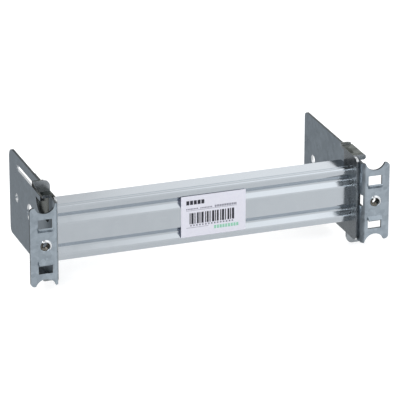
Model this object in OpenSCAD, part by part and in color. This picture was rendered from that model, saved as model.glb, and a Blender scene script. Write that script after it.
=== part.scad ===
/* [Rail] */
// Overall height of the rail
rail_height = 35; // [32:0.5:40]
// Length of the rail between the end plates
rail_length = 188.4; // [120:0.1:600]
// Depth of the rail, front faces to back edges
rail_depth = 15; // [12:0.5:20]
// Sheet thickness of the rail
rail_sheet = 1.5; // [1:0.1:1.8]
// Height of the front face of each lip
lip_height = 4.1; // [3.5:0.1:6]
// Width of each rolled V groove at the front face
groove_width = 7.5; // [5:0.1:8]
// Slope of the groove flanks from the front face, in degrees
groove_slope = 40; // [30:1:55]
// Radius in the bottom of the grooves
groove_round = 1.2; // [0.6:0.1:1.6]
// Outer radius of the bends at the front corners and the groove mouths
rail_bend = 2; // [1.8:0.1:2.4]
// Distance from the rail front to the small step in the outer walls
step_back = 3.2; // [2.6:0.1:6]
// Height of that step
step_rise = 0.3; // [0.1:0.1:0.6]
// Setback of the rail front behind the front faces of the flanges
rail_setback = 15.9; // [12:0.1:20]

/* [End plates] */
// Sheet thickness of the end plates
end_sheet = 1.5; // [1:0.1:2]
// Setback of the end plate front edge
end_front = 6.2; // [5:0.1:8]
// Depth of the end plate body
end_depth = 20.6; // [18:0.1:30]
// Half height of the end plate body
end_half = 26.5; // [24:0.1:27.5]
// Radius of the end plate corners
end_corner = 3; // [1:0.1:5]
// Back edge of the tail that runs behind the long slot
tail_back = 53; // [40:0.5:60]
// Height of the tail
tail_height = 8.2; // [5:0.1:9]
// Back edge of the wing that closes the round cut of the bracket from inside
wing_back = 41; // [40:0.5:42]
// Lower edge of the wing above the rail centre line
wing_low = 5; // [2:0.5:7]
// Reach of the hook flaps outward from the bracket web
hook_reach = 4.1; // [3:0.1:6]
// Reach of the slot side lobe outward from the bracket web
lobe_reach = 7.8; // [5:0.1:9]
// Slant of the outer end of that lobe
lobe_slant = 4; // [0:0.1:5]
// Front edge of the hook flaps
hook_front = 13; // [11:0.1:14]
// Back face of the upright lobe on the slot side hook
lobe_slot_back = 21.8; // [18:0.1:24]
// Height of the upright lobe on the slot side hook
lobe_slot_height = 6.8; // [3:0.1:8]
// Drop of the plain side hook below the edge of the end plate
plain_drop = 1; // [0:0.1:1.4]
// Back end of the plain side hook
plain_back = 33; // [28:0.1:36]
// Height of the upturned end of the plain side hook
plain_turn = 1; // [0.5:0.1:3]
// Radius of the lobe corner toward the rail
lobe_corner = 4; // [1:0.1:4.4]
// Height of the front ear on the plain side hook
ear_height = 3.4; // [2:0.1:4]
// Front face of that ear
ear_front = 13.2; // [9:0.1:14]
// Reach of that ear outward from the flap
ear_reach = 1.1; // [0.5:0.1:2.5]

/* [Side brackets] */
// Sheet thickness of the side brackets
bracket_sheet = 1.5; // [1:0.1:2]
// Depth of the side brackets, flange front face to back edge
bracket_depth = 94.8; // [85:0.1:150]
// Distance of the slot side edge from the rail centre line
slot_side = 28.1; // [26.5:0.1:32]
// Distance of the plain side edge from the rail centre line
plain_side = 27.1; // [26.5:0.1:32]
// Outer bend radius between web and front flange
bracket_bend = 3; // [1.8:0.1:4]
// Back corner radius on the slot side
corner_big = 6.5; // [1:0.5:12]
// Back corner radius on the plain side
corner_small = 3.5; // [2:0.5:8]
// Width of the long slot
slot_width = 3.6; // [2:0.1:4]
// Closed back end of the long slot, from the flange front face
slot_back = 78.5; // [65:0.5:82]
// Height of the finger beside the long slot
finger_height = 5.4; // [4:0.1:8]
// Tip of the finger, from the flange front face
finger_front = 33; // [31:0.5:40]
// Length of the sloping end of the finger
finger_slope = 12; // [6:0.5:16]
// Height of the sloping end where it meets its flat run
finger_step = 1.6; // [0.8:0.1:2.4]
// Front end of the hooked edge under the slot
claw_front = 31; // [30:0.5:36]
// Height of that hooked edge
claw_height = 3.2; // [2:0.1:4]
// Back of the round cut under the slot
bay_back = 40; // [38:0.5:44]
// Lowest point of the round cut above the rail centre line
bay_floor = 8; // [4:0.5:12]
// Back edge of the full height strip beside the bend
strip_back = 13.5; // [9:0.1:14]
// Distance of the strip ends from the rail centre line
strip_half = 26; // [24.7:0.1:26.2]
// Radius of the large hole in the web
large_hole_r = 6; // [3:0.1:8]
// Distance of the large hole from the flange front face
large_hole_at = 52.5; // [49:0.5:60]
// Radius of the small hole in the web
small_hole_r = 2.9; // [1.5:0.1:5]
// Distance of the small hole from the flange front face
small_hole_at = 80; // [70:0.5:86]
// Corner radius of the strip ends beside the bend
strip_corner = 2; // [0.5:0.1:2.2]
// Height of the window beside the bend
bend_window_height = 7.3; // [4:0.1:10]
// Offset of that window toward the plain side
bend_window_offset = 1.2; // [0:0.1:3]
// Front edge of that window
bend_window_front = 1; // [0.5:0.1:2]
// Back edge of that window
bend_window_back = 6.8; // [5:0.1:9]

/* [Front flanges] */
// Distance of the flange free edge from the inner face of the web
flange_width = 17.4; // [16:0.1:24]
// Height of the front flange
flange_height = 49.4; // [46:0.1:49.4]
// Distance of the screw hole from the flange free edge
hole_inset = 9.2; // [7.5:0.1:10]
// Radius of the tapped screw hole
screw_hole_r = 2.7; // [1.5:0.1:2.9]
// Depth of the drawn collar behind the flange
collar_length = 4; // [1:0.1:6]
// Wall of the drawn collar
collar_wall = 1.1; // [0.6:0.1:2]
// Radius of the rounded mouth of the screw hole
mouth_radius = 0.9; // [0.2:0.1:1.4]
// Radius of the end notches
notch_radius = 6.5; // [4:0.1:7]
// Depth of the end notches
notch_depth = 4.2; // [2:0.1:6]
// Radius of the flange corners outside the notches
tip_corner = 2.4; // [0.8:0.1:2.6]
// Width of the rectangular openings
opening_width = 8.7; // [6:0.1:10]
// Far edge of the rectangular openings, from the flange centre
opening_far = 17; // [15:0.1:18.5]
// Root of the lances, from the flange centre
lance_root = 8.9; // [7:0.1:10]
// Length of the lances along the flange
lance_length = 2.2; // [1.5:0.1:3]
// Rise of the lances in front of the flange
lance_rise = 1.9; // [1:0.1:2.5]
// Thickness of the lances
lance_sheet = 1.1; // [0.8:0.1:1.4]

/* [Label] */
// Width of the label
label_width = 41; // [20:0.5:80]
// Height of the label
label_height = 26; // [15:0.5:30]
// Thickness of the label
label_sheet = 0.2; // [0.1:0.05:0.4]
// Distance of the label centre to the right of the rail centre
label_offset = 6; // [-30:0.5:30]

/* [Hidden] */
$fn = 64;
cut = 1;
end_inner = rail_length / 2;
web_inner = end_inner + end_sheet;
web_outer = web_inner + bracket_sheet;
flange_edge = web_inner + flange_width;
hole_x = flange_edge - hole_inset;
half_rail = rail_height / 2;
groove_top = half_rail - lip_height;
groove_low = groove_top - groove_width;
groove_middle = (groove_top + groove_low) / 2;
groove_centre = groove_width / 2 * tan(groove_slope) - groove_round / cos(groove_slope);
mouth_run = rail_bend * tan(groove_slope / 2);
bend_steps = 8;
end_back = end_front + end_depth;
half_flange = flange_height / 2;
flange_land = hole_x - opening_width / 2 - web_inner - bracket_bend;
notch_centre = half_flange - notch_depth + notch_radius;
slot_top = slot_side - finger_height;
slot_low = slot_top - slot_width;
hook_tip = web_outer + hook_reach;
lobe_tip = web_outer + lobe_reach;
ear_tip = hook_tip + ear_reach;
seat_cut = 0.3;
plain_seat = end_half - plain_drop;
plain_edge = plain_seat - seat_cut;
slot_seat = end_half - end_sheet;
seat_gap = 2;
bay_round = (bay_back - strip_back) / 3;
lance_lap = 0.5;
lowest = max(slot_seat + end_sheet + lobe_slot_height, slot_side);
bbox_front = lance_rise;
mid_depth = (bracket_depth - bbox_front) / 2;

// Stands the part on its floor, centred in plan.
module placed() {
    translate([0, -mid_depth, lowest]) children();
}

// Turns the left hand pieces half round about the depth axis to give the right hand ones.
module turned() {
    rotate([0, 180, 0]) children();
}

// Sheet standing across the rail: the outline is drawn in depth and height.
module upright(x0, t) {
    translate([x0, 0, 0]) rotate([90, 0, 90]) linear_extrude(height = t) children();
}

// Sheet facing the front: the outline is drawn in width and height.
module facing(y0, t) {
    translate([0, y0 + t, 0]) rotate([90, 0, 0]) linear_extrude(height = t) children();
}

// Rectangle from one corner to the other.
module box2(x0, x1, y0, y1) {
    translate([x0, y0]) square([x1 - x0, y1 - y0]);
}

// Cutter that rounds the corner at (x, y); sx and sy point into the material.
module round2(x, y, sx, sy, r) {
    translate([x, y]) mirror([sx < 0 ? 1 : 0, 0]) mirror([0, sy < 0 ? 1 : 0]) difference() {
        translate([-cut, -cut]) square([r + cut, r + cut]);
        translate([r, r]) circle(r = r);
    }
}

// Points on an arc about c, from angle a0 to angle a1.
function bend(c, r, a0, a1) = [
    for (i = [0:bend_steps])
        let (a = a0 + (a1 - a0) * i / bend_steps)
        c + r * [cos(a), sin(a)]
];

// Line of the rail sheet from its upper back edge to the middle band.
// inset is the distance inward from the outer surface.
function sheet_line(inset) = concat(
    [
        [rail_depth, half_rail + step_rise - inset],
        [step_back, half_rail + step_rise - inset],
        [step_back, half_rail - inset]
    ],
    bend([rail_bend, half_rail - rail_bend], rail_bend - inset, 90, 180),
    bend([rail_bend, groove_top + mouth_run], rail_bend - inset, 180, 180 + groove_slope),
    bend([groove_centre, groove_middle], groove_round + inset, groove_slope, -groove_slope),
    bend([rail_bend, groove_low - mouth_run], rail_bend - inset, 180 - groove_slope, 180)
);

// The same line of points backwards.
function backwards(line) = [for (i = [len(line) - 1:-1:0]) line[i]];

// The line carried on to the lower back edge.
function whole_line(inset) = concat(
    sheet_line(inset),
    [for (p = backwards(sheet_line(inset))) [p[0], -p[1]]]
);

// The rail, one length of formed sheet.
module rail() {
    color("silver") placed() translate([0, rail_setback, 0]) upright(-end_inner, rail_length)
        polygon(concat(whole_line(0), backwards(whole_line(rail_sheet))));
}

// End plate body with the tail behind the long slot.
module end_outline() {
    difference() {
        union() {
            box2(end_front, end_back, -end_half, end_half);
            box2(end_back - cut, wing_back, wing_low, end_half);
            box2(end_back - cut, tail_back, end_half - tail_height, end_half);
        }
        round2(end_front, end_half, 1, -1, end_corner);
        round2(end_front, -end_half, 1, 1, end_corner);
        round2(tail_back, end_half, -1, -1, end_corner);
        round2(tail_back, end_half - tail_height, -1, 1, end_corner);
        round2(wing_back, wing_low, -1, 1, end_corner);
    }
}

// Upright lobe at the back end of the slot side hook, drawn in width and height.
module lobe_outline() {
    height = end_sheet + lobe_slot_height;
    difference() {
        polygon([
            [-lobe_tip + lobe_slant, 0],
            [-lobe_tip, height],
            [-end_inner, height],
            [-end_inner, 0]
        ]);
        round2(-end_inner, height, -1, -1, min(lobe_corner, height));
    }
}

// Flap of the plain side hook, drawn in width and depth, with the ear at its front end.
module plain_flap_outline() {
    difference() {
        box2(-hook_tip, -end_inner, ear_front - end_sheet, plain_back);
        round2(-hook_tip, plain_back, 1, -1, ear_height);
        round2(-end_inner, plain_back, -1, -1, ear_height / 2);
    }
}

// End plate as fitted on the left, slot side upward.
module end_plate_left() {
    upright(-web_inner, end_sheet) end_outline();
    // hook flap on the slot side, through the round cut of the bracket
    translate([-hook_tip, hook_front, slot_seat])
        cube([hook_tip - end_inner, lobe_slot_back - hook_front, end_sheet]);
    translate([0, 0, slot_seat]) facing(lobe_slot_back - end_sheet, end_sheet) lobe_outline();
    // hook on the plain side, over the edge of the bracket
    mirror([0, 0, 1]) {
        translate([0, 0, plain_seat]) linear_extrude(height = end_sheet) plain_flap_outline();
        translate([0, 0, plain_seat]) linear_extrude(height = end_sheet + plain_turn) difference() {
            plain_flap_outline();
            box2(-hook_tip - cut, -end_inner + cut, ear_front - end_sheet - cut, plain_back - end_sheet);
        }
        facing(ear_front - end_sheet, end_sheet) difference() {
            box2(-ear_tip, -web_outer, plain_seat + end_sheet - ear_height, plain_seat + end_sheet);
            round2(-ear_tip, plain_seat + end_sheet, 1, -1, ear_height / 2.2);
            round2(-ear_tip, plain_seat + end_sheet - ear_height, 1, 1, ear_height / 2.2);
        }
    }
}

module left_end_plate() {
    color("gainsboro") placed() end_plate_left();
}

module right_end_plate() {
    color("gainsboro") placed() turned() end_plate_left();
}

// Outline of the round cut and of the free end of the finger.
module bay_outline() {
    difference() {
        union() {
            box2(strip_back, bay_back - bay_round, bay_floor, slot_low + cut);
            polygon([
                [strip_back, slot_low],
                [strip_back, slot_side + cut],
                [finger_front, slot_side + cut],
                [finger_front + finger_slope / 2, slot_top + finger_step],
                [finger_front + finger_slope, slot_top],
                [finger_front + finger_slope, slot_low],
                [claw_front, slot_low],
                [bay_back - bay_round, bay_floor + bay_round],
                [strip_back, bay_floor + bay_round]
            ]);
            translate([bay_back - bay_round, bay_floor + bay_round]) circle(r = bay_round);
        }
        box2(claw_front, bay_back, slot_low - claw_height, slot_low);
        round2(strip_back, bay_floor, 1, 1, bay_round / 2);
    }
}

// Web outline: plate, finger, long slot, strip beside the bend and holes.
module web_outline() {
    difference() {
        box2(bracket_bend, bracket_depth, -plain_side, slot_side);
        round2(bracket_depth, slot_side, -1, -1, corner_big);
        round2(bracket_depth, -plain_side, -1, 1, corner_small);
        // front strip and seat of the plain side hook
        box2(0, strip_back + seat_cut, strip_half, slot_side + cut);
        box2(0, plain_back + seat_gap, -plain_side - cut, -plain_edge);
        round2(bracket_bend, strip_half, 1, -1, strip_corner);
        round2(bracket_bend, -plain_edge, 1, 1, strip_corner);
        // long slot
        box2(finger_front, slot_back - slot_width / 2, slot_low, slot_top);
        translate([slot_back - slot_width / 2, slot_low + slot_width / 2]) circle(r = slot_width / 2);
        bay_outline();
        // holes on the centre line
        translate([large_hole_at, 0]) circle(r = large_hole_r);
        translate([small_hole_at, 0]) circle(r = small_hole_r);
    }
}

// Flange outline: end notches with rounded tips, openings.
module flange_outline() {
    difference() {
        box2(-flange_edge, -web_inner - bracket_bend, -half_flange, half_flange);
        for (s = [-1, 1]) {
            translate([-hole_x, s * notch_centre]) circle(r = notch_radius);
            round2(-flange_edge, s * half_flange, 1, -s, tip_corner);
        }
        for (s = [0, 1]) mirror([0, s])
            box2(-hole_x - opening_width / 2, -hole_x + opening_width / 2, lance_root, opening_far);
    }
}

// Lance beside an opening, sloping out in front of the flange.
module lance() {
    slope = sqrt(lance_rise * lance_rise + lance_length * lance_length);
    ny = lance_sheet * lance_length / slope;
    nz = lance_sheet * lance_rise / slope;
    upright(-hole_x - opening_width / 2, opening_width) polygon([
        [0, lance_root - lance_lap],
        [0, lance_root],
        [-lance_rise, lance_root + lance_length],
        [ny - lance_rise, lance_root + lance_length + nz],
        [bracket_sheet, lance_root + lance_lap],
        [bracket_sheet, lance_root - lance_lap]
    ]);
}

// Bend between web and flange, seen from above.
module bend_plan() {
    translate([-web_inner - bracket_bend, bracket_bend]) intersection() {
        difference() {
            circle(r = bracket_bend);
            circle(r = bracket_bend - bracket_sheet);
        }
        translate([0, -bracket_bend]) square(bracket_bend);
    }
}

// Bend from the plain side edge to the slot side edge, carried on into the flange.
module bend_left() {
    joint_low = min(plain_edge, half_flange);
    joint_high = min(strip_half, half_flange);
    translate([0, 0, -plain_edge]) linear_extrude(height = plain_edge + strip_half) bend_plan();
    translate([0, 0, -joint_low]) linear_extrude(height = joint_low + joint_high) {
        bend_plan();
        box2(-web_inner - bracket_bend - flange_land / 2, -web_inner - bracket_bend, 0, bracket_sheet);
    }
}

module bracket_left() {
    difference() {
        union() {
            upright(-web_outer, bracket_sheet) web_outline();
            bend_left();
            facing(0, bracket_sheet) flange_outline();
            lance();
            mirror([0, 0, 1]) lance();
            translate([-hole_x, 0, 0]) rotate([-90, 0, 0])
                cylinder(r = screw_hole_r + collar_wall, h = bracket_sheet + collar_length);
        }
        // screw hole with its rounded mouth
        translate([-hole_x, -cut, 0]) rotate([-90, 0, 0])
            cylinder(r = screw_hole_r, h = bracket_sheet + collar_length + 2 * cut);
        translate([-hole_x, 0, 0]) rotate([-90, 0, 0]) rotate_extrude() difference() {
            translate([0, -cut]) square([screw_hole_r + mouth_radius, mouth_radius + cut]);
            translate([screw_hole_r + mouth_radius, mouth_radius]) circle(r = mouth_radius);
        }
        // end notches run on through the bend
        for (s = [-1, 1])
            translate([-hole_x, -cut, s * notch_centre]) rotate([-90, 0, 0])
                cylinder(r = notch_radius, h = bracket_bend + 2 * cut);
        // window beside the bend
        translate([-web_outer - cut, bend_window_front, -bend_window_offset - bend_window_height / 2])
            cube([bracket_sheet + 2 * cut, bend_window_back - bend_window_front, bend_window_height]);
    }
}

module left_bracket() {
    color("silver") placed() bracket_left();
}

module right_bracket() {
    color("silver") placed() turned() bracket_left();
}

// Label stuck on the middle band of the rail.
module label() {
    color("white") placed() facing(rail_setback - label_sheet, label_sheet)
        translate([label_offset - label_width / 2, -label_height / 2])
            square([label_width, label_height]);
}

rail();
left_end_plate();
right_end_plate();
left_bracket();
right_bracket();
label();
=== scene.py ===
import bpy
import math
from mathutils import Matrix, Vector


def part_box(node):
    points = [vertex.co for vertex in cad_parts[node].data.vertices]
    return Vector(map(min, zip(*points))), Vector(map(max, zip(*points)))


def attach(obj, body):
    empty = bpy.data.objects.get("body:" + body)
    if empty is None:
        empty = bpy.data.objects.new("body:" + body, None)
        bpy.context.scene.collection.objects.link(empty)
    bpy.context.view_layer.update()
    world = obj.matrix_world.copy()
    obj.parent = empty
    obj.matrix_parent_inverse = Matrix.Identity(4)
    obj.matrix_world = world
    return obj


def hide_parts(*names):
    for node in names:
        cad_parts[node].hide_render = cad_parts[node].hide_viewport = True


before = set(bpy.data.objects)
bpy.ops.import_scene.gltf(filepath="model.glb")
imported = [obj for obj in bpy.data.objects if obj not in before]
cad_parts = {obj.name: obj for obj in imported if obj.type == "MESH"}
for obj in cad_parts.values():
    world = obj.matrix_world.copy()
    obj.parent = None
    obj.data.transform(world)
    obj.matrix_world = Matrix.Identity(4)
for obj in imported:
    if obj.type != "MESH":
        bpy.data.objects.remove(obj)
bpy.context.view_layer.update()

# The camera of the photograph: a long lens from the left and a little above,
# aimed near the middle of the rail.
rail_low, rail_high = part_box("rail")
axis_height = (rail_low.z + rail_high.z) / 2
aim = Vector((-0.0055, rail_low.y - 0.0083, axis_height + 0.0132))
camera_turn = math.radians(-19.88)
camera_rise = math.radians(21.56)
camera_distance = 1.856
toward_camera = Vector((
    math.sin(camera_turn) * math.cos(camera_rise),
    -math.cos(camera_turn) * math.cos(camera_rise),
    math.sin(camera_rise),
))
bpy.ops.object.select_all(action="DESELECT")
bpy.ops.object.camera_add(location=aim + toward_camera * camera_distance)
camera = bpy.context.object
camera.name = "photo_camera"
camera.rotation_mode = "QUATERNION"
camera.rotation_quaternion = (-toward_camera).to_track_quat("-Z", "Y")
camera.data.sensor_width = 36
camera.data.lens = 282.0
camera.data.clip_start = 0.05
camera.data.clip_end = 20
bpy.context.scene.camera = camera

# The studio air, as the camera and mirror rays see it: a dark wall between bright ones
# at the far left, at the right and on the camera's side, and the table top below the horizon.
# Scattered light sees an even room, very nearly white.
bpy.context.scene.view_settings.view_transform = "Standard"
world = bpy.data.worlds.new("studio_air")
bpy.context.scene.world = world
world.use_nodes = True
tree = world.node_tree
tree.nodes.clear()


def paint_greys(ramp, first_grey, last_grey, stops):
    """Greys along a colour ramp: at its two ends, and at the stops between them."""
    ramp.elements[0].color = (first_grey, first_grey, first_grey, 1)
    ramp.elements[-1].color = (last_grey, last_grey, last_grey, 1)
    for place, grey in stops:
        stop = ramp.elements.new(place)
        stop.color = (grey, grey, grey, 1)


direction = tree.nodes.new("ShaderNodeTexCoord")
sides = tree.nodes.new("ShaderNodeSeparateXYZ")
tree.links.new(direction.outputs["Generated"], sides.inputs[0])

across = tree.nodes.new("ShaderNodeMapRange")
across.inputs["From Min"].default_value = -1
across.inputs["From Max"].default_value = 1
wall = tree.nodes.new("ShaderNodeValToRGB")
wall.color_ramp.interpolation = "EASE"
wall_stops = ((0.10, 0.75), (0.20, 0.15), (0.525, 0.15), (0.70, 1.0))
paint_greys(wall.color_ramp, first_grey=0.75, last_grey=1.0, stops=wall_stops)
tree.links.new(sides.outputs["X"], across.inputs["Value"])
tree.links.new(across.outputs[0], wall.inputs[0])

near_wall = tree.nodes.new("ShaderNodeMapRange")
near_wall.inputs["From Min"].default_value = -0.45
near_wall.inputs["From Max"].default_value = -0.80
near_wall.inputs["To Max"].default_value = 0.80
brighter = tree.nodes.new("ShaderNodeMath")
brighter.operation = "MAXIMUM"
tree.links.new(sides.outputs["Y"], near_wall.inputs["Value"])
tree.links.new(wall.outputs[0], brighter.inputs[0])
tree.links.new(near_wall.outputs[0], brighter.inputs[1])

table_across = tree.nodes.new("ShaderNodeMapRange")
table_across.inputs["From Min"].default_value = -0.5
table_across.inputs["From Max"].default_value = 0.5
table_top = tree.nodes.new("ShaderNodeValToRGB")
table_stops = ((0.13, 0.52), (0.20, 1.0), (0.77, 0.76), (0.87, 0.88))
paint_greys(table_top.color_ramp, first_grey=0.30, last_grey=0.95, stops=table_stops)
below_horizon = tree.nodes.new("ShaderNodeMath")
below_horizon.operation = "LESS_THAN"
below_horizon.inputs[1].default_value = 0
strength = tree.nodes.new("ShaderNodeMix")
strength.data_type = "FLOAT"
tree.links.new(sides.outputs["X"], table_across.inputs["Value"])
tree.links.new(table_across.outputs[0], table_top.inputs[0])
tree.links.new(sides.outputs["Z"], below_horizon.inputs[0])
tree.links.new(below_horizon.outputs[0], strength.inputs[0])
tree.links.new(brighter.outputs[0], strength.inputs[2])
tree.links.new(table_top.outputs[0], strength.inputs[3])

rays = tree.nodes.new("ShaderNodeLightPath")
seen = tree.nodes.new("ShaderNodeMath")
seen.operation = "MAXIMUM"
seen_or_mirrored = tree.nodes.new("ShaderNodeMath")
seen_or_mirrored.operation = "MAXIMUM"
tree.links.new(rays.outputs["Is Camera Ray"], seen.inputs[0])
tree.links.new(rays.outputs["Is Transmission Ray"], seen.inputs[1])
tree.links.new(seen.outputs[0], seen_or_mirrored.inputs[0])
tree.links.new(rays.outputs["Is Glossy Ray"], seen_or_mirrored.inputs[1])

room = tree.nodes.new("ShaderNodeBackground")
room.inputs["Color"].default_value = (0.98, 0.99, 1.0, 1)
walls = tree.nodes.new("ShaderNodeBackground")
walls.inputs["Color"].default_value = (1, 1, 1, 1)
choose = tree.nodes.new("ShaderNodeMixShader")
output = tree.nodes.new("ShaderNodeOutputWorld")
tree.links.new(strength.outputs[0], walls.inputs["Strength"])
tree.links.new(seen_or_mirrored.outputs[0], choose.inputs[0])
tree.links.new(room.outputs[0], choose.inputs[1])
tree.links.new(walls.outputs[0], choose.inputs[2])
tree.links.new(choose.outputs[0], output.inputs["Surface"])

# The floor: pale paper that the camera sees as white, with a soft shadow of the part on it.
# Mirror rays pass through it to the table top of the studio air.
bpy.ops.object.select_all(action="DESELECT")
bpy.ops.mesh.primitive_plane_add(size=8, location=(0, 0, 0))
floor = bpy.context.object
floor.name = "floor"
floor_grey = 0.60
floor_glow = 0.60
floor_paper = bpy.data.materials.new("floor_paper")
floor_paper.use_nodes = True
tree = floor_paper.node_tree
tree.nodes.clear()
rays = tree.nodes.new("ShaderNodeLightPath")
paper = tree.nodes.new("ShaderNodeBsdfDiffuse")
paper.inputs["Color"].default_value = (floor_grey, floor_grey, floor_grey, 1)
glow_seen = tree.nodes.new("ShaderNodeMath")
glow_seen.operation = "MULTIPLY"
glow_seen.inputs[1].default_value = floor_glow
glow = tree.nodes.new("ShaderNodeEmission")
lit_paper = tree.nodes.new("ShaderNodeAddShader")
mirrored = tree.nodes.new("ShaderNodeMath")
mirrored.operation = "MAXIMUM"
mirror_gap = tree.nodes.new("ShaderNodeBsdfTransparent")
choose = tree.nodes.new("ShaderNodeMixShader")
output = tree.nodes.new("ShaderNodeOutputMaterial")
tree.links.new(rays.outputs["Is Camera Ray"], glow_seen.inputs[0])
tree.links.new(glow_seen.outputs[0], glow.inputs["Strength"])
tree.links.new(paper.outputs[0], lit_paper.inputs[0])
tree.links.new(glow.outputs[0], lit_paper.inputs[1])
tree.links.new(rays.outputs["Is Glossy Ray"], mirrored.inputs[0])
tree.links.new(rays.outputs["Is Transmission Ray"], mirrored.inputs[1])
tree.links.new(mirrored.outputs[0], choose.inputs[0])
tree.links.new(lit_paper.outputs[0], choose.inputs[1])
tree.links.new(mirror_gap.outputs[0], choose.inputs[2])
tree.links.new(choose.outputs[0], output.inputs["Surface"])
floor.data.materials.append(floor_paper)

# Three soft lamps, all aimed at the middle of the part: a wide one behind on the right,
# one overhead in front on the right, and the key at the front left.
lamp_aim = Vector((0, 0, axis_height))
for lamp_name, lamp_place, lamp_width, lamp_height, lamp_power in (
    ("back_lamp", (1.55, 2.4, 1.05), 1.6, 1.3, 1.2),
    ("top_lamp", (1.15, -0.85, 1.75), 1.3, 1.6, 2.6),
    ("key_lamp", (-1.3, -1.7, 1.4), 0.9, 0.9, 17),
):
    bpy.ops.object.select_all(action="DESELECT")
    bpy.ops.object.light_add(type="AREA", location=lamp_place)
    lamp = bpy.context.object
    lamp.name = lamp_name
    lamp.data.shape = "RECTANGLE"
    lamp.data.size = lamp_width
    lamp.data.size_y = lamp_height
    lamp.data.energy = lamp_power
    lamp.rotation_mode = "QUATERNION"
    lamp.rotation_quaternion = (lamp_aim - Vector(lamp_place)).to_track_quat("-Z", "Y")


# The rail: one length of zinc plated strip, roll formed into lips, walls and two V grooves.
# Its faces are bright and drawn along the length, its sawn ends and back edges are duller,
# and the ends stand against the end plates.


def plated_steel(
    name, colour, dark_colour, roughness, grain, line_axis, line_depth, grain_depth, edge_tint, stretch=1.0
):
    """Zinc plated steel: clouds and crystals in the plating, and fine lines drawn along one axis.

    The grain is the width of a crystal in metres, and a stretch under 1 draws the clouds out
    along the lines. The two depths are the strength of the relief, and the edge tint dims the
    mirror at grazing angles.
    """
    lines_along, lines_across = 9, 1400
    clouds_per_metre = 90
    material = bpy.data.materials.new(name)
    material.use_nodes = True
    nodes = material.node_tree.nodes
    links = material.node_tree.links
    shader = nodes["Principled BSDF"]
    shader.inputs["Metallic"].default_value = 1.0
    shader.inputs["Specular Tint"].default_value = (edge_tint, edge_tint, edge_tint, 1)
    place = nodes.new("ShaderNodeTexCoord")

    line_space = nodes.new("ShaderNodeMapping")
    line_space.inputs["Scale"].default_value = [
        lines_along if axis == line_axis else lines_across for axis in "XYZ"
    ]
    lines = nodes.new("ShaderNodeTexNoise")
    lines.inputs["Scale"].default_value = 1.0
    lines.inputs["Detail"].default_value = 3
    links.new(place.outputs["Object"], line_space.inputs["Vector"])
    links.new(line_space.outputs[0], lines.inputs["Vector"])

    cloud_space = nodes.new("ShaderNodeMapping")
    cloud_space.inputs["Scale"].default_value = [
        clouds_per_metre * (stretch if axis == line_axis else 1) for axis in "XYZ"
    ]
    clouds = nodes.new("ShaderNodeTexNoise")
    clouds.inputs["Scale"].default_value = 1.0
    clouds.inputs["Detail"].default_value = 5
    clouds.inputs["Roughness"].default_value = 0.65
    links.new(place.outputs["Object"], cloud_space.inputs["Vector"])
    links.new(cloud_space.outputs[0], clouds.inputs["Vector"])

    crystals = nodes.new("ShaderNodeTexVoronoi")
    crystals.inputs["Scale"].default_value = 1 / grain
    mottle = nodes.new("ShaderNodeMix")
    mottle.data_type = "FLOAT"
    mottle.inputs[0].default_value = 0.3
    links.new(place.outputs["Object"], crystals.inputs["Vector"])
    links.new(clouds.outputs[0], mottle.inputs[2])
    links.new(crystals.outputs["Color"], mottle.inputs[3])

    tone = nodes.new("ShaderNodeValToRGB")
    tone.name = "tone"
    tone.color_ramp.elements[0].position = 0.30
    tone.color_ramp.elements[0].color = (*dark_colour, 1)
    tone.color_ramp.elements[1].position = 0.70
    tone.color_ramp.elements[1].color = (*colour, 1)
    links.new(mottle.outputs[0], tone.inputs[0])
    links.new(tone.outputs[0], shader.inputs["Base Color"])

    sheen = nodes.new("ShaderNodeMapRange")
    sheen.inputs["From Min"].default_value = 0.3
    sheen.inputs["From Max"].default_value = 0.7
    sheen.inputs["To Min"].default_value = roughness * 0.8
    sheen.inputs["To Max"].default_value = roughness * 1.25
    links.new(mottle.outputs[0], sheen.inputs["Value"])
    links.new(sheen.outputs[0], shader.inputs["Roughness"])

    line_relief = nodes.new("ShaderNodeBump")
    line_relief.inputs["Strength"].default_value = line_depth
    line_relief.inputs["Distance"].default_value = 0.00001
    grain_relief = nodes.new("ShaderNodeBump")
    grain_relief.inputs["Strength"].default_value = grain_depth
    grain_relief.inputs["Distance"].default_value = 0.00003
    links.new(lines.outputs[0], line_relief.inputs["Height"])
    links.new(mottle.outputs[0], grain_relief.inputs["Height"])
    links.new(line_relief.outputs[0], grain_relief.inputs["Normal"])
    links.new(grain_relief.outputs[0], shader.inputs["Normal"])
    return material


def eased_copy(node_name, piece_name, edge_round):
    """A copy of one solid with its loose triangles merged and its sharp edges eased."""
    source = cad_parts[node_name]
    piece = bpy.data.objects.new(piece_name, source.data.copy())
    bpy.context.scene.collection.objects.link(piece)
    piece.data.materials.clear()
    bpy.ops.object.select_all(action="DESELECT")
    bpy.context.view_layer.objects.active = piece
    piece.select_set(True)
    bpy.ops.object.mode_set(mode="EDIT")
    bpy.ops.mesh.select_all(action="SELECT")
    bpy.ops.mesh.remove_doubles(threshold=0.000002)
    bpy.ops.mesh.dissolve_limited(angle_limit=math.radians(0.5))
    bpy.ops.object.mode_set(mode="OBJECT")
    if piece.data.has_custom_normals:
        bpy.ops.mesh.customdata_custom_splitnormals_clear()
    easing = piece.modifiers.new("eased_edges", "BEVEL")
    easing.width = edge_round
    easing.segments = 2
    easing.limit_method = "ANGLE"
    easing.angle_limit = math.radians(40)
    bpy.ops.object.modifier_apply(modifier=easing.name)
    bpy.ops.object.shade_smooth_by_angle(angle=math.radians(35))
    weights = piece.modifiers.new("flat_faces", "WEIGHTED_NORMAL")
    weights.keep_sharp = True
    bpy.ops.object.modifier_apply(modifier=weights.name)
    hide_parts(node_name)
    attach(piece, "root")
    return piece


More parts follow.
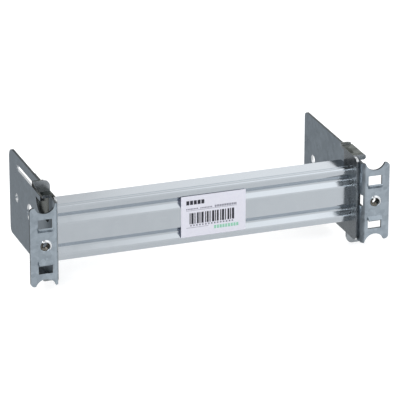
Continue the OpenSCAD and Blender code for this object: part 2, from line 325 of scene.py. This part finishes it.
strip_faces = plated_steel(
    "bright_strip", colour=(0.58, 0.625, 0.67), dark_colour=(0.56, 0.605, 0.65), roughness=0.14,
    grain=0.004, line_axis="X", line_depth=0.12, grain_depth=0.0, edge_tint=1.0,
)
strip_cuts = plated_steel(
    "sawn_strip", colour=(0.24, 0.25, 0.27), dark_colour=(0.14, 0.15, 0.16), roughness=0.42,
    grain=0.001, line_axis="Z", line_depth=0.8, grain_depth=0.6, edge_tint=0.5,
)
back_edge_start = rail_high.y - 0.0005
rail_strip = eased_copy("rail", "rail_strip", edge_round=0.00022)
rail_strip.data.materials.append(strip_faces)
rail_strip.data.materials.append(strip_cuts)
for face in rail_strip.data.polygons:
    sawn_end = abs(face.normal.x) > 0.9
    back_edge = face.normal.y > 0.9 and face.center.y > back_edge_start
    if sawn_end or back_edge:
        face.material_index = 1

# The end plates: two pieces pressed from sheet with their hooks, zinc plated after pressing,
# that stand between the rail's ends and the brackets. The faces are satin. The outward ones and the
# hook tops are painted with streaky shade, and the sheared hook edges with a painted highlight.
end_faces = plated_steel(
    "pressed_end", colour=(0.38, 0.41, 0.435), dark_colour=(0.26, 0.285, 0.305), roughness=0.28,
    grain=0.003, line_axis="Z", line_depth=0.15, grain_depth=0.1, edge_tint=0.5,
)
end_edges = plated_steel(
    "sheared_end", colour=(0.30, 0.31, 0.32), dark_colour=(0.16, 0.17, 0.18), roughness=0.34,
    grain=0.001, line_axis="Y", line_depth=0.9, grain_depth=0.6, edge_tint=0.5,
)
# Painted highlight: a bright finish for the sheared edges of the hooks.
hook_painted_highlight = plated_steel(
    "hook_highlight_paint", colour=(0.80, 0.82, 0.84), dark_colour=(0.50, 0.52, 0.54), roughness=0.24,
    grain=0.0008, line_axis="Y", line_depth=0.9, grain_depth=0.6, edge_tint=1.0,
)
# Painted shade: a near-black streaky finish for the outward faces and hook tops of the end plates.
end_painted_shade = plated_steel(
    "end_shade_paint", colour=(0.30, 0.32, 0.31), dark_colour=(0.03, 0.035, 0.03), roughness=0.24,
    grain=0.004, line_axis="Z", line_depth=0.5, grain_depth=0.2, edge_tint=0.5, stretch=0.15,
)
widest_edge = 0.00105
hook_start = 0.0246
for side, hand in (("left", -1), ("right", 1)):
    end_sheet = eased_copy(f"{side}_end_plate", f"{side}_end_sheet", edge_round=0.0002)
    for finish in (end_faces, end_edges, hook_painted_highlight, end_painted_shade):
        end_sheet.data.materials.append(finish)
    for face in end_sheet.data.polygons:
        ring = [end_sheet.data.vertices[corner].co for corner in face.vertices]
        outline = sum((ring[number] - ring[number - 1]).length for number in range(len(ring)))
        narrow = 2 * face.area / outline < widest_edge
        up = face.center.z - axis_height
        outward = face.normal.x * hand > 0.7
        hook_top = face.normal.z > 0.7 and up > hook_start
        # Narrow faces on the hooks get the painted highlight.
        if narrow and abs(up) > hook_start:
            face.material_index = 2
        elif narrow:
            face.material_index = 1
        # Outward faces and hook tops get the painted shade.
        elif outward or hook_top:
            face.material_index = 3

# The side brackets: two deep galvanised sheets, each bent once into a web and a front flange,
# with painted shade across the web behind the bend. The sheared outline is dark, the walls of
# the punched slot and holes are burnished bright, and the tapped collars have painted shade inside.
bracket_faces = plated_steel(
    "galvanised_sheet", colour=(0.44, 0.505, 0.565), dark_colour=(0.285, 0.335, 0.38), roughness=0.34,
    grain=0.0025, line_axis="Y", line_depth=0.3, grain_depth=0.3, edge_tint=0.5,
)
bracket_edges = plated_steel(
    "sheared_sheet", colour=(0.22, 0.24, 0.25), dark_colour=(0.12, 0.13, 0.14), roughness=0.40,
    grain=0.001, line_axis="X", line_depth=0.9, grain_depth=0.6, edge_tint=0.5,
)
bracket_walls = plated_steel(
    "punched_wall", colour=(0.78, 0.80, 0.82), dark_colour=(0.62, 0.64, 0.66), roughness=0.22,
    grain=0.001, line_axis="X", line_depth=0.9, grain_depth=0.2, edge_tint=1.0,
)
# Painted shade: a dark finish for the bores, their threads and the pressed back lips.
bore_painted_shade = plated_steel(
    "tapped_bore_shade_paint", colour=(0.22, 0.21, 0.19), dark_colour=(0.07, 0.068, 0.06), roughness=0.32,
    grain=0.001, line_axis="Y", line_depth=0.9, grain_depth=0.4, edge_tint=0.5,
)
# Places are measured back from the flange's front face and up or down from the rail's middle height.
sheet = 0.0015
skin = 0.0001
lance_rise = 0.0019
flange_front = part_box("left_bracket")[0].y + lance_rise
flange_start = 0.0985
web_middle = rail_high.x + 1.5 * sheet
web_start = 0.0031
screw_across = 0.1039
bore_start, bore_reach = 0.0006, 0.0029
large_hole_back, large_hole_reach = 0.0525, 0.0063
small_hole_back, small_hole_reach = 0.080, 0.0032
slot_front, slot_back = 0.034, 0.079
slot_near, slot_far = 0.0185, 0.0232


def paint_shade_behind_bend(material):
    """Paints shade on a finish in a band just behind the bend, from a wavering start to a soft end."""
    shade_reach = 0.050
    waver = 0.010
    nodes = material.node_tree.nodes
    links = material.node_tree.links
    place = nodes.new("ShaderNodeTexCoord")
    split = nodes.new("ShaderNodeSeparateXYZ")
    smear = nodes.new("ShaderNodeTexNoise")
    smear.inputs["Scale"].default_value = 120
    wavered = nodes.new("ShaderNodeMath")
    wavered.operation = "MULTIPLY_ADD"
    wavered.inputs[1].default_value = waver
    depth = nodes.new("ShaderNodeMapRange")
    depth.inputs["From Min"].default_value = flange_front
    depth.inputs["From Max"].default_value = flange_front + shade_reach
    shade_ramp = nodes.new("ShaderNodeValToRGB")
    shade_ramp.color_ramp.elements[0].position = 0.16
    shade_ramp.color_ramp.elements[0].color = (1, 1, 1, 1)
    shade_ramp.color_ramp.elements[1].position = 0.62
    shade_ramp.color_ramp.elements[1].color = (1, 1, 1, 1)
    darkest = shade_ramp.color_ramp.elements.new(0.24)
    darkest.color = (0.36, 0.38, 0.40, 1)
    fading = shade_ramp.color_ramp.elements.new(0.40)
    fading.color = (0.50, 0.53, 0.55, 1)
    shaded_tone = nodes.new("ShaderNodeMix")
    shaded_tone.data_type = "RGBA"
    shaded_tone.blend_type = "MULTIPLY"
    shaded_tone.inputs[0].default_value = 1.0
    links.new(place.outputs["Object"], split.inputs[0])
    links.new(place.outputs["Object"], smear.inputs["Vector"])
    links.new(smear.outputs[0], wavered.inputs[0])
    links.new(split.outputs["Y"], wavered.inputs[2])
    links.new(wavered.outputs[0], depth.inputs["Value"])
    links.new(depth.outputs[0], shade_ramp.inputs[0])
    links.new(nodes["tone"].outputs[0], shaded_tone.inputs[6])
    links.new(shade_ramp.outputs[0], shaded_tone.inputs[7])
    links.new(shaded_tone.outputs[2], nodes["Principled BSDF"].inputs["Base Color"])


def bracket_finish(face, hand):
    """The finish of one face: 0 the sheet, 1 a sheared edge, 2 a punched wall, 3 the tapped bore in
    painted shade.
    """
    across = abs(face.center.x)
    back = face.center.y - flange_front
    up = face.center.z - axis_height
    slot_side = -hand * up
    # A face in the bore gets the painted shade finish.
    if math.hypot(across - screw_across, up) < bore_reach and back > bore_start:
        return 3
    if back > web_start and abs(across - web_middle) < 0.4 * sheet and abs(face.normal.x) < 0.5:
        large_hole = math.hypot(back - large_hole_back, up) < large_hole_reach
        small_hole = math.hypot(back - small_hole_back, up) < small_hole_reach
        long_slot = slot_front < back < slot_back and slot_near < slot_side < slot_far
        return 2 if large_hole or small_hole or long_slot else 1
    flange_cut = skin < back < sheet - skin and abs(face.normal.y) < 0.3 and across > flange_start
    upright_cut = abs(face.normal.z) > 0.9
    return 1 if flange_cut or upright_cut else 0


# Painted shade: the bracket sheet's finish is darkened in a band behind the bend.
paint_shade_behind_bend(bracket_faces)
for side, hand in (("left", -1), ("right", 1)):
    bracket_sheet = eased_copy(f"{side}_bracket", f"{side}_bracket_sheet", edge_round=0.0002)
    for finish in (bracket_faces, bracket_edges, bracket_walls, bore_painted_shade):
        bracket_sheet.data.materials.append(finish)
    for face in bracket_sheet.data.polygons:
        face.material_index = bracket_finish(face, hand)

# The threads in the collars: four turns of a sharp ridge of 1 mm pitch, cut in the steel
# of the bracket by a tap and coloured dark as painted shade. A triangle wound round the screw's axis gives
# the ridge.


def set_in_screw_holes(ring, piece_ending):
    """A copy of a ring modelled round the origin for each screw hole, moved there in its own mesh."""
    for side, hand in (("left", -1), ("right", 1)):
        piece = ring.copy()
        piece.data = ring.data.copy()
        piece.name = f"{side}_{piece_ending}"
        bpy.context.scene.collection.objects.link(piece)
        bpy.ops.object.select_all(action="DESELECT")
        bpy.context.view_layer.objects.active = piece
        piece.select_set(True)
        bpy.ops.object.mode_set(mode="EDIT")
        bpy.ops.mesh.select_all(action="SELECT")
        bpy.ops.transform.translate(value=(hand * screw_across, flange_front, axis_height))
        bpy.ops.object.mode_set(mode="OBJECT")
        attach(piece, "root")
    bpy.data.objects.remove(ring)


def close_turned_ring():
    """Merges, caps and faces outwards the profile that a screw modifier has turned."""
    bpy.ops.object.mode_set(mode="EDIT")
    bpy.ops.mesh.select_all(action="SELECT")
    bpy.ops.mesh.remove_doubles(threshold=0.000001)
    bpy.ops.mesh.fill_holes(sides=4)
    bpy.ops.mesh.select_all(action="SELECT")
    bpy.ops.mesh.normals_make_consistent(inside=False)
    bpy.ops.object.mode_set(mode="OBJECT")


ridge_size = 0.00042
ridge_radius = 0.00262
thread_pitch = 0.0010
thread_turns = 4
thread_start = 0.0011
bpy.ops.object.select_all(action="DESELECT")
bpy.ops.mesh.primitive_circle_add(vertices=3, radius=ridge_size, fill_type="NOTHING")
thread = bpy.context.object
bpy.ops.object.mode_set(mode="EDIT")
bpy.ops.mesh.select_all(action="SELECT")
bpy.ops.transform.rotate(value=math.radians(90), orient_axis="Z", center_override=(0, 0, 0))
bpy.ops.transform.translate(value=(ridge_radius, thread_start, 0))
bpy.ops.object.mode_set(mode="OBJECT")
winding = thread.modifiers.new("winding", "SCREW")
winding.axis = "Y"
winding.angle = math.radians(360)
winding.screw_offset = thread_pitch
winding.iterations = thread_turns
winding.steps = 32
winding.render_steps = 32
bpy.ops.object.modifier_apply(modifier=winding.name)
close_turned_ring()
bpy.ops.object.shade_smooth_by_angle(angle=math.radians(30))
thread.data.materials.append(bore_painted_shade)
set_in_screw_holes(thread, "screw_thread")

# The lips of the screw holes: round the upper right of each hole the sheet is drawn forward
# with a painted highlight, and round the lower left it is pressed back into the hole with painted shade.
# Each is a four cornered profile, given as distances out and back, turned part of the way round.
# Painted highlight: a bright finish for the drawn forward lip at the upper right.
lip_painted_highlight = plated_steel(
    "lip_highlight_paint", colour=(0.84, 0.87, 0.90), dark_colour=(0.70, 0.73, 0.76), roughness=0.24,
    grain=0.0008, line_axis="Z", line_depth=0.4, grain_depth=0.2, edge_tint=1.0,
)
drawn_profile = ((0.0028, 0.0002), (0.0028, -0.0007), (0.0031, -0.0008), (0.0044, 0.0002))
pressed_profile = ((0.0028, 0.0004), (0.0028, 0.0009), (0.0011, 0.0021), (0.0010, 0.0016))
# The upper right lip carries the painted highlight, the lower left lip the painted shade.
for piece_ending, profile, lip_start, lip_sweep, lip_finish in (
    ("painted_highlight_lip", drawn_profile, -35, 155, lip_painted_highlight),
    ("painted_shade_lip", pressed_profile, 100, 215, bore_painted_shade),
):
    bpy.ops.object.select_all(action="DESELECT")
    bpy.ops.mesh.primitive_circle_add(vertices=4, radius=0.001, fill_type="NOTHING")
    lip = bpy.context.object
    start_angle = math.radians(lip_start)
    for corner, (out, back) in zip(lip.data.vertices, profile):
        corner.co = (out * math.cos(start_angle), back, out * math.sin(start_angle))
    turning = lip.modifiers.new("turning", "SCREW")
    turning.axis = "Y"
    turning.angle = -math.radians(lip_sweep)
    turning.screw_offset = 0
    turning.steps = 48
    turning.render_steps = 48
    bpy.ops.object.modifier_apply(modifier=turning.name)
    close_turned_ring()
    rounding = lip.modifiers.new("rounding", "BEVEL")
    rounding.width = 0.00012
    rounding.segments = 2
    rounding.limit_method = "ANGLE"
    rounding.angle_limit = math.radians(30)
    bpy.ops.object.modifier_apply(modifier=rounding.name)
    bpy.ops.object.shade_smooth_by_angle(angle=math.radians(40))
    lip.data.materials.append(lip_finish)
    set_in_screw_holes(lip, piece_ending)

# The label: a sheet of coated paper, cut square and stuck flat across the grooves of the rail.
# It is thin enough to let a little light through.
label_low, label_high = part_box("label")
label_middle = (label_low + label_high) / 2
label_size = label_high - label_low
bpy.ops.object.select_all(action="DESELECT")
bpy.ops.mesh.primitive_cube_add(size=1, location=(0, 0, 0))
label_sheet = bpy.context.object
label_sheet.name = "label_sheet"
bpy.ops.object.mode_set(mode="EDIT")
bpy.ops.mesh.select_all(action="SELECT")
bpy.ops.transform.resize(value=label_size, center_override=(0, 0, 0))
bpy.ops.transform.translate(value=label_middle)
bpy.ops.object.mode_set(mode="OBJECT")
bpy.ops.object.shade_smooth_by_angle(angle=math.radians(30))
coated_paper = bpy.data.materials.new("coated_paper")
coated_paper.use_nodes = True
nodes = coated_paper.node_tree.nodes
links = coated_paper.node_tree.links
shader = nodes["Principled BSDF"]
shader.inputs["Roughness"].default_value = 0.55
place = nodes.new("ShaderNodeTexCoord")
fibres = nodes.new("ShaderNodeTexNoise")
fibres.inputs["Scale"].default_value = 900
fibres.inputs["Detail"].default_value = 6
paper_tone = nodes.new("ShaderNodeValToRGB")
paper_tone.color_ramp.elements[0].position = 0.35
paper_tone.color_ramp.elements[0].color = (0.86, 0.86, 0.95, 1)
paper_tone.color_ramp.elements[1].position = 0.65
paper_tone.color_ramp.elements[1].color = (0.90, 0.90, 0.98, 1)
paper_relief = nodes.new("ShaderNodeBump")
paper_relief.inputs["Strength"].default_value = 0.15
paper_relief.inputs["Distance"].default_value = 0.00002
through = nodes.new("ShaderNodeBsdfTranslucent")
through.inputs["Color"].default_value = (0.95, 0.95, 1.0, 1)
thin = nodes.new("ShaderNodeMixShader")
thin.inputs[0].default_value = 0.20
links.new(place.outputs["Object"], fibres.inputs["Vector"])
links.new(fibres.outputs[0], paper_tone.inputs[0])
links.new(paper_tone.outputs[0], shader.inputs["Base Color"])
links.new(fibres.outputs[0], paper_relief.inputs["Height"])
links.new(paper_relief.outputs[0], shader.inputs["Normal"])
links.new(shader.outputs[0], thin.inputs[1])
links.new(through.outputs[0], thin.inputs[2])
links.new(thin.outputs[0], nodes["Material Output"].inputs["Surface"])
label_sheet.data.materials.append(coated_paper)
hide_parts("label")
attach(label_sheet, "root")

# The print on the label: plain bars, solid blocks, thin rules and short dashes in black and grey
# ink, and a row of green blocks at the foot. Each mark is a thin slab of ink printed on the
# paper, and its sides are given as shares of the label, from its left edge and from its top.


def row_of_marks(count, first_left, pitch, width, top, bottom):
    """A row of like marks, each as (left, right, top, bottom)."""
    lefts = [first_left + pitch * number for number in range(count)]
    return [(left, left + width, top, bottom) for left in lefts]


bar_count = 18
bar_widths = (0.015, 0.034, 0.014, 0.027)
bar_gaps = (0.012, 0.015, 0.024)
bar_top, bar_bottom = 0.42, 0.69
bar_left = 0.13
black_marks = []
for number in range(bar_count):
    bar_right = bar_left + bar_widths[number % 4]
    black_marks.append((bar_left, bar_right, bar_top, bar_bottom))
    bar_left = bar_right + bar_gaps[number % 3]
black_marks += row_of_marks(count=5, first_left=0.08, pitch=0.058, width=0.045, top=0.115, bottom=0.215)
grey_marks = row_of_marks(count=8, first_left=0.08, pitch=0.0235, width=0.015, top=0.305, bottom=0.335)
grey_marks += row_of_marks(count=8, first_left=0.298, pitch=0.0235, width=0.015, top=0.305, bottom=0.335)
grey_marks += row_of_marks(count=13, first_left=0.52, pitch=0.0265, width=0.018, top=0.29, bottom=0.34)
grey_marks += [(0.44, 0.86, 0.356, 0.363), (0.08, 0.44, 0.356, 0.363)]
grey_marks += row_of_marks(count=15, first_left=0.14, pitch=0.046, width=0.022, top=0.71, bottom=0.745)
grey_marks += [(0.08, 0.42, 0.775, 0.783)]
green_marks = row_of_marks(count=9, first_left=0.51, pitch=0.043, width=0.032, top=0.79, bottom=0.87)
ink_thickness = 0.00006
ink_middle = label_low.y - 0.00002
for ink_name, ink_colour, marks in (
    ("black", (0.012, 0.012, 0.025), black_marks),
    ("grey", (0.20, 0.20, 0.25), grey_marks),
    ("green", (0.30, 0.62, 0.46), green_marks),
):
    faded_colour = [0.45 + 0.5 * part for part in ink_colour]
    ink = bpy.data.materials.new(f"{ink_name}_ink")
    ink.use_nodes = True
    nodes = ink.node_tree.nodes
    links = ink.node_tree.links
    shader = nodes["Principled BSDF"]
    shader.inputs["Roughness"].default_value = 0.6
    place = nodes.new("ShaderNodeTexCoord")
    speckle = nodes.new("ShaderNodeTexNoise")
    speckle.inputs["Scale"].default_value = 2500
    speckle.inputs["Detail"].default_value = 3
    ink_tone = nodes.new("ShaderNodeValToRGB")
    ink_tone.color_ramp.elements[0].position = 0.60
    ink_tone.color_ramp.elements[0].color = (*ink_colour, 1)
    ink_tone.color_ramp.elements[1].position = 0.85
    ink_tone.color_ramp.elements[1].color = (*faded_colour, 1)
    links.new(place.outputs["Object"], speckle.inputs["Vector"])
    links.new(speckle.outputs[0], ink_tone.inputs[0])
    links.new(ink_tone.outputs[0], shader.inputs["Base Color"])
    slabs = []
    for left, right, top, bottom in marks:
        bpy.ops.object.select_all(action="DESELECT")
        bpy.ops.mesh.primitive_cube_add(size=1, location=(0, 0, 0))
        slab = bpy.context.object
        bpy.ops.object.mode_set(mode="EDIT")
        bpy.ops.mesh.select_all(action="SELECT")
        bpy.ops.transform.resize(
            value=((right - left) * label_size.x, ink_thickness, (bottom - top) * label_size.z),
            center_override=(0, 0, 0),
        )
        bpy.ops.transform.translate(value=(
            label_low.x + (left + right) / 2 * label_size.x,
            ink_middle,
            label_high.z - (top + bottom) / 2 * label_size.z,
        ))
        bpy.ops.object.mode_set(mode="OBJECT")
        slabs.append(slab)
    bpy.ops.object.select_all(action="DESELECT")
    for slab in slabs:
        slab.select_set(True)
    bpy.context.view_layer.objects.active = slabs[0]
    bpy.ops.object.join()
    print_piece = bpy.context.object
    print_piece.name = f"label_{ink_name}_print"
    print_piece.data.materials.append(ink)
    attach(print_piece, "root")
